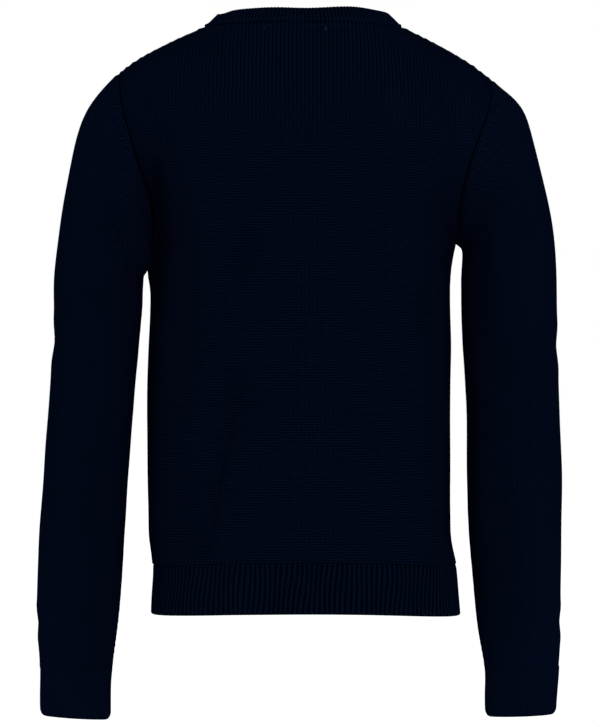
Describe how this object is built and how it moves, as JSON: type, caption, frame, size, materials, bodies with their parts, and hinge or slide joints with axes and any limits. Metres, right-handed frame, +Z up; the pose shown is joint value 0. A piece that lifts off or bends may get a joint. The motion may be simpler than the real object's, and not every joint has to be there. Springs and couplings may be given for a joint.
{
  "type": "cardigan",
  "caption": "Hollow worn-shape knitted cardigan with a round neck, long sleeves, ribbed hem, cuffs and neckband, and a buttoned front",
  "frame": {"origin": "middle of the neck opening, level with the inner ends of the shoulder seams, where the shoulders carry it", "axes": "+Z up, -Y the way the wearer faces, +X to the wearer's left"},
  "size_m": [0.4475, 0.1958, 0.6038],
  "materials": {
    "plain_knit": "dark navy wool plain knit, matt with a faint fuzz",
    "rib_knit": "dark navy wool 1x1 rib, matt with a faint fuzz",
    "button": "dark navy polyester resin, satin"
  },
  "bodies": {
    "root": {"back": "plain_knit", "front_left": "plain_knit", "front_right": "plain_knit", "sleeve_left": "plain_knit", "sleeve_right": "plain_knit", "hem_rib_back": "rib_knit", "hem_rib_front_left": "rib_knit", "hem_rib_front_right": "rib_knit", "cuff_left": "rib_knit", "cuff_right": "rib_knit", "neckband": "rib_knit", "button_band": "rib_knit", "buttonhole_band": "rib_knit", "button_1": "button", "button_2": "button", "button_3": "button", "button_4": "button", "button_5": "button", "button_6": "button"}
  },
  "joints": []
}
